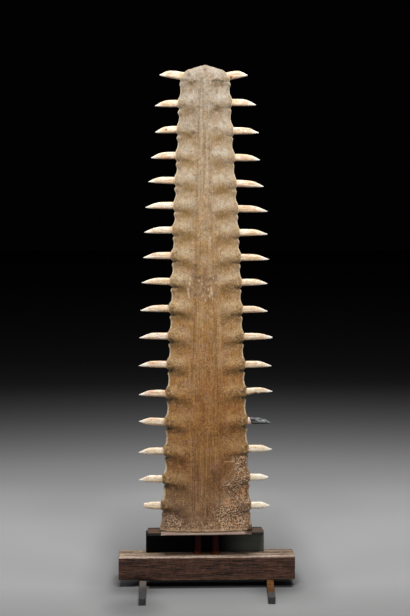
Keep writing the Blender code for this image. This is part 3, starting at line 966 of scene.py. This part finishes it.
beamSizes = {"bevel": 0.0022, "cuts": (99, 20, 18)}
beamWeather = {
    "grain": (0.12, 0.004, 0.0045),
    "dents": (0.02, 0.012, 0.012),
    "depth": 0.0009,
    "wear": 0.0024,
    "bites": ((-0.185, 0.05, 0.0055), (0.02, 0.06, 0.0016), (0.12, 0.02, 0.0014)),
}
boardSizes = {"bevel": 0.001, "cuts": (80, 16, 4)}
boardWeather = {"grain": (0.09, 0.004, 0.003), "dents": (0.02, 0.01, 0.01), "depth": 0.0004, "wear": 0.0012}
barSizes = {"bevel": 0.001, "cuts": (6, 90, 6), "rightTurn": -3}
barWeather = {"grain": (0.006, 0.009, 0.006), "dents": (0.01, 0.012, 0.01), "depth": 0.0006, "wear": 0.001}
plateSizes = {"bevel": 0.0006, "cuts": (90, 24, 2)}
plateWeather = {
    "grain": (0.02, 0.006, 0.01), "dents": (0.014, 0.01, 0.01), "depth": 0.0004, "wear": 0.0008,
    "taper": 0.02,
}


def beamFinish():
    f = Finish("weathered beam")
    grain = f.noise((8, 190, 230), 5, 0.74, 0.4)
    f.tone = f.mix(f.step(grain, 0.38, 0.62), (29, 15, 10), (82, 53, 39))
    # small blotches that run across the grain
    blotch = f.noise((120, 90, 60), 4, 0.7, 0.6)
    f.wash(blotch, 0.52, 0.64, 0.42, (24, 13, 11))
    f.wash(blotch, 0.48, 0.36, 0.34, (98, 70, 62))
    band = f.noise((4, 46, 60), 3, 0.6, 0.5)
    f.wash(band, 0.5, 0.68, 0.44, (100, 70, 54))
    ochre = f.noise((12, 70, 100), 4, 0.6, 0.8)
    f.wash(ochre, 0.58, 0.72, 0.45, (116, 76, 46))
    # worn paler along the lower edge
    low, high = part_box("beam")
    foot = 1 - f.step(f.z + band * 0.006, low[2] + 0.005, low[2] + 0.011)
    f.coat(foot * 0.45, (112, 78, 52))
    pits = f.noise((40, 420, 460), 4, 0.75)
    f.wash(pits, 0.53, 0.64, 0.66, (16, 10, 9))
    f.wash(pits, 0.47, 0.36, 0.44, (122, 88, 66))
    # paler again along the arrises
    arris = f.step(f.z, high[2] - 0.005, high[2] - 0.0028)
    arris = arris + f.step(f.z, low[2] + 0.0045, low[2] + 0.0025)
    f.coat(arris * f.step(band, 0.4, 0.6) * 0.4, (136, 102, 80))
    # paler on top, partly bleached and partly painted light from above, most of all along the front; the rear
    # of the top is painted shadow of the board and block over it
    top = f.step(f.z, high[2] - 0.002, high[2] - 0.0008)
    shadowedTop = f.mix(f.step(grain, 0.42, 0.58), (56, 38, 26), (160, 130, 100))
    bleachedAndLit = f.mix(f.step(grain, 0.4, 0.58), (112, 86, 72), (226, 204, 188))
    strip = 1 - f.step(f.y + ochre * 0.03, low[1] + 0.026, low[1] + 0.04)
    sides = f.tone
    f.tone = f.mix(strip, shadowedTop, bleachedAndLit)
    f.wash(ochre, 0.56, 0.7, 0.5, (140, 104, 70))
    lines = f.noise((7, 420, 60), 3, 0.62, 0.3)
    f.wash(lines, 0.5, 0.59, 0.62, (80, 56, 42))
    f.wash(lines, 0.49, 0.4, 0.62, (232, 210, 186))
    f.wash(pits, 0.54, 0.64, 0.6, (54, 38, 28))
    f.wash(blotch, 0.51, 0.62, 0.36, (74, 48, 32))
    f.wash(blotch, 0.47, 0.36, 0.18, (236, 216, 198))
    # painted shadow darkening the top towards the right, behind the block
    f.wash(f.x, 0.05, 0.12, 0.22, (60, 42, 32))
    f.tone = f.mix(top, sides, f.tone)
    return f.close(0.66 + grain * 0.2, grain + pits * 0.8, 0.9, 0.0018, specular=0.28)


def boardFinish():
    f = Finish("dull board")
    grain = f.noise((7, 210, 160), 5, 0.62, 0.5)
    f.tone = f.mix(f.step(grain, 0.4, 0.6), (34, 21, 12), (96, 67, 42))
    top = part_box("upper_board")[1][2]
    # the faces below the top are painted almost black: painted shade
    front = 1 - f.step(f.z, top - 0.0016, top - 0.0006)
    f.coat(front, (13, 10, 8))
    return f.close(0.62 + grain * 0.2, grain, 0.5, 0.001)


def plateFinish():
    f = Finish("pale plate")
    grain = f.noise((12, 160, 160), 4, 0.6, 0.6)
    f.tone = f.mix(f.step(grain, 0.36, 0.66), (118, 99, 88), (162, 142, 128))
    spots = f.noise((90, 90, 90), 3, 0.6)
    f.wash(spots, 0.56, 0.68, 0.7, (104, 78, 62))
    # painted shade darkening the right end
    f.wash(f.x + spots * 0.012, 0.1, 0.11, 0.9, (58, 36, 24))
    return f.close(0.6 + spots * 0.2, grain, 0.4, 0.0006)


# a matte black block that stands in for the deep shade between the board and the beam, greyer towards its
# right end
def shadeBlockFinish():
    f = Finish("black block")
    grain = f.noise((9, 120, 160), 4, 0.6)
    black = f.mix(grain, (3, 3, 3), (10, 10, 10))
    greyerRight = f.mix(grain, (76, 80, 74), (96, 99, 92))
    f.tone = f.mix(f.step(f.x, 0.03, 0.11), black, greyerRight)
    return f.close(0.72 + grain * 0.2, grain, 0.3, 0.0006, specular=0.1)


def postFinish():
    f = Finish("dark red post")
    streaks = f.noise((300, 300, 14), 3, 0.6)
    f.tone = f.mix(f.step(streaks, 0.4, 0.65), (24, 1, 3), (60, 6, 9))
    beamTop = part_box("beam")[1][2]
    # painted highlight, orange brown, round the foot of each post
    foot = 1 - f.step(f.z, beamTop + 0.002, beamTop + 0.009)
    f.coat(foot * (0.35 + f.step(streaks, 0.5, 0.62) * 0.6), (150, 70, 34))
    return f.close(0.36 + streaks * 0.2, streaks, 0.15, 0.0004, specular=0.12)


# rust over bare steel, which shows on the left bar and at the front end of the right one
def rustFinish():
    f = Finish("rusty bar")
    blotch = f.noise((90, 60, 90), 5, 0.65, 0.6)
    f.tone = f.mix(f.step(blotch, 0.36, 0.62), (50, 28, 6), (98, 62, 20))
    scale = f.noise((260, 200, 260), 4, 0.7)
    f.wash(scale, 0.54, 0.66, 0.7, (42, 22, 8))
    nearBeam = f.step(f.y + blotch * 0.03, -0.105, -0.06)
    f.coat(nearBeam * f.step(scale, 0.44, 0.58) * 0.7, (128, 88, 52))
    rust = f.tone
    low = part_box("foot_bar_left")[0]
    f.tone = f.mix(f.step(blotch, 0.36, 0.62), (52, 52, 53), (68, 67, 67))
    # painted shade on the front end of the steel
    f.wash(f.y, low[1] + 0.004, low[1] + 0.002, 0.6, (46, 46, 47))
    f.wash(f.y, -0.11, -0.05, 0.7, (104, 96, 90))
    bare = f.step(f.y + blotch * 0.022, low[1] + 0.062, low[1] + 0.044)
    bare = bare.atLeast(f.step(f.x, 0.05, -0.05))
    f.tone = f.mix(bare * 0.96, rust, f.tone)
    return f.close(0.58 + scale * 0.3, blotch + scale * 0.8, 0.6, 0.001, specular=0.26)


# a post: a ring drawn up in steps, with a small flared foot where it meets the beam
postSizes = {"radius": 0.0098, "sides": 40, "flare": 0.003, "flareHeight": 0.0055}


def makePost(side, finish):
    node = f"post_{side}"
    low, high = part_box(node)
    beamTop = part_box("beam")[1][2]
    x = (low[0] + high[0]) / 2
    y = (low[1] + high[1]) / 2
    radius = postSizes["radius"]
    flare = postSizes["flare"]
    rise = postSizes["flareHeight"]
    profile = [(radius, low[2]), (radius, beamTop), (radius + flare, beamTop + 0.0002)]
    for turn in (0.25, 0.5, 0.75, 1):
        profile.append((radius + flare * (1 - turn) ** 2, beamTop + rise * turn))
    profile += [(radius, beamTop + 0.03), (radius, high[2] - 0.001), (radius - 0.001, high[2])]
    settings = {"vertices": postSizes["sides"], "radius": radius, "location": (x, y, low[2])}
    settings["fill_type"] = "NGON"
    obj = begin(f"round_post_{side}", bpy.ops.mesh.primitive_circle_add, **settings)
    goTo("EDIT")
    bpy.ops.mesh.select_all(action="SELECT")
    for (before, start), (after, end) in zip(profile, profile[1:]):
        bpy.ops.mesh.extrude_region_move(TRANSFORM_OT_translate={"value": (0, 0, end - start)})
        grow = after / before
        bpy.ops.transform.resize(value=(grow, grow, 1), center_override=(x, y, end))
    goTo("OBJECT")
    faceOut()
    smoothOver(obj, 50)
    dress(obj, finish, "dark_red", node)


def makeStand():
    beam = plank("worn_beam", "beam", beamSizes, beamWeather, 1)
    dress(beam, beamFinish(), "weathered_wood", "beam")
    board = plank("worn_board", "upper_board", boardSizes, boardWeather, 2)
    dress(board, boardFinish(), "board_wood", "upper_board")
    plate = plank("worn_plate", "seat_plate", plateSizes, plateWeather, 3)
    dress(plate, plateFinish(), "pale_plate", "seat_plate")
    post = postFinish()
    for side in ("left", "right"):
        makePost(side, post)
    rust = rustFinish()
    for side, turn in (("left", 0), ("right", math.radians(barSizes["rightTurn"]))):
        bar = plank(f"rusty_bar_{side}", f"foot_bar_{side}", barSizes, barWeather, 4, "foot_bar_left", turn)
        dress(bar, rust, "rust", f"foot_bar_{side}")
    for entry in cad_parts["spacer_block"].material_slots:
        entry.material = shadeBlockFinish().material
    print("stand done")


# Stage, lights and camera

# floor greys from front to back, a painted fall-off of the light into the dark at the back: distance, grey
floorTones = (
    (-0.26, 135), (-0.14, 145), (-0.015, 157), (0.115, 161), (0.26, 164), (0.41, 168), (0.585, 172),
    (0.98, 168), (1.2, 157), (1.46, 145), (1.74, 127), (2.06, 106), (2.42, 83), (2.83, 60),
    (3.3, 30), (3.6, 4),
)
# darker floor round the front ends of the bars: spot, reaches, strength
barShadows = (
    ((-0.165, -0.075, 0), 0, 0.07, 0.16), ((0.165, -0.07, 0), 0, 0.08, 0.16),
    ((-0.185, -0.2, 0), 0.02, 0.11, 0.34),
)


def makeStage():
    floor = begin("floor", bpy.ops.mesh.primitive_plane_add, size=30, location=(0, 6, 0))
    f = Finish("pale floor")
    low, high = floorTones[0][0], floorTones[-1][0]
    stops = [((y - low) / (high - low), grey, grey, grey) for y, grey in floorTones]
    f.tone = f.ramp((f.y - low) / (high - low), stops)
    # paler behind the stand: painted light on the floor
    f.coat(f.near((0, 0.72, 0), 0.2, 0.52) * 0.12, (255, 255, 255))
    # a soft shadow all round the beam, drawn out behind it, and darker beside the bars
    beside = abs(f.x) - 0.222
    beside = (beside * 1.5).atLeast(0)
    before = (-0.038 - f.y).atLeast((f.y - 0.038) * 0.2).atLeast(0)
    away = (beside * beside + before * before) ** 0.5
    soft = f.step(away, 0.075, 0) * 0.28 + f.step(away, 0.2, 0.02) * 0.28
    for spot, inner, outer, strength in barShadows:
        soft = soft + f.near(spot, inner, outer) * strength
    f.coat(soft, (20, 20, 21))
    # the shadow under the beam is close to black
    under = f.step(f.y, -0.048, -0.038) * f.step(f.y, 0.04, 0.03)
    under = under * f.step(f.x, -0.158, -0.146) * f.step(f.x, 0.228, 0.216)
    f.coat(under * 0.97, (3, 3, 3))
    floor.data.materials.append(f.close(0.9).material)
    floor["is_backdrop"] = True
    world = bpy.data.worlds.new("studio")
    bpy.context.scene.world = world
    world.use_nodes = True
    backdrop = world.node_tree.nodes["Background"]
    backdrop.inputs["Color"].default_value = paint(2, 2, 3)
    backdrop.inputs["Strength"].default_value = 1


def softbox(name, place, aimHeight, width, height, watts):
    data = bpy.data.lights.new(name, "AREA")
    data.shape = "RECTANGLE"
    data.size = width
    data.size_y = height
    data.energy = watts
    lamp = bpy.data.objects.new(name, data)
    lamp.location = place
    lamp.rotation_euler = (Vector((0, 0, aimHeight)) - Vector(place)).to_track_quat("-Z", "Y").to_euler()
    bpy.context.scene.collection.objects.link(lamp)


# name, place, height aimed at, width, height, watts
lamps = (
    ("top box", (0, -1.45, 3.1), 0.6, 1.6, 0.8, 118),
    ("front fill", (-0.4, -3.6, 1.7), 0.7, 2, 2, 8),
    ("left side", (-2.2, -0.8, 1.4), 0.6, 0.8, 1.6, 15),
    ("right side", (2.2, -0.8, 1.4), 0.6, 0.8, 1.6, 15),
    ("back fill", (0.5, 3, 2.4), 0.7, 1.6, 1.6, 22),
)


def makeLights():
    for lamp in lamps:
        softbox(*lamp)


# one pixel of the picture covers this much at the stand
shot = {
    "distance": 3.2, "height": 1, "azimuth": -1.9, "aimX": -0.004, "aimZ": 0.7205,
    "pixel": 0.00255, "rows": 616, "sensor": 24,
}


def makeCamera():
    data = bpy.data.cameras.new("camera")
    camera = bpy.data.objects.new("camera", data)
    bpy.context.scene.collection.objects.link(camera)
    turn = math.radians(shot["azimuth"])
    away = shot["distance"]
    camera.location = (shot["aimX"] + away * math.sin(turn), -away * math.cos(turn), shot["height"])
    look = Vector((shot["aimX"], 0, shot["aimZ"])) - camera.location
    camera.rotation_euler = look.to_track_quat("-Z", "Y").to_euler()
    data.sensor_fit = "VERTICAL"
    data.sensor_height = shot["sensor"]
    data.lens = shot["sensor"] * away / (shot["pixel"] * shot["rows"])
    data.clip_end = 60
    bpy.context.scene.camera = camera
    bpy.context.scene.view_settings.view_transform = "Standard"


skin = makeBlade()
dress(skin, skinFinish(), "skin", "rostrum")
makeTeeth(toothFinish(), greyToothFinish())
makeStand()
makeStage()
makeLights()
makeCamera()

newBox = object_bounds()
boxes = [[[float(c) for c in corner] for corner in box] for box in (cadBox, newBox)]
str({"cad": boxes[0], "visual": boxes[1]}).replace("'", '"')
print("pieces ready")
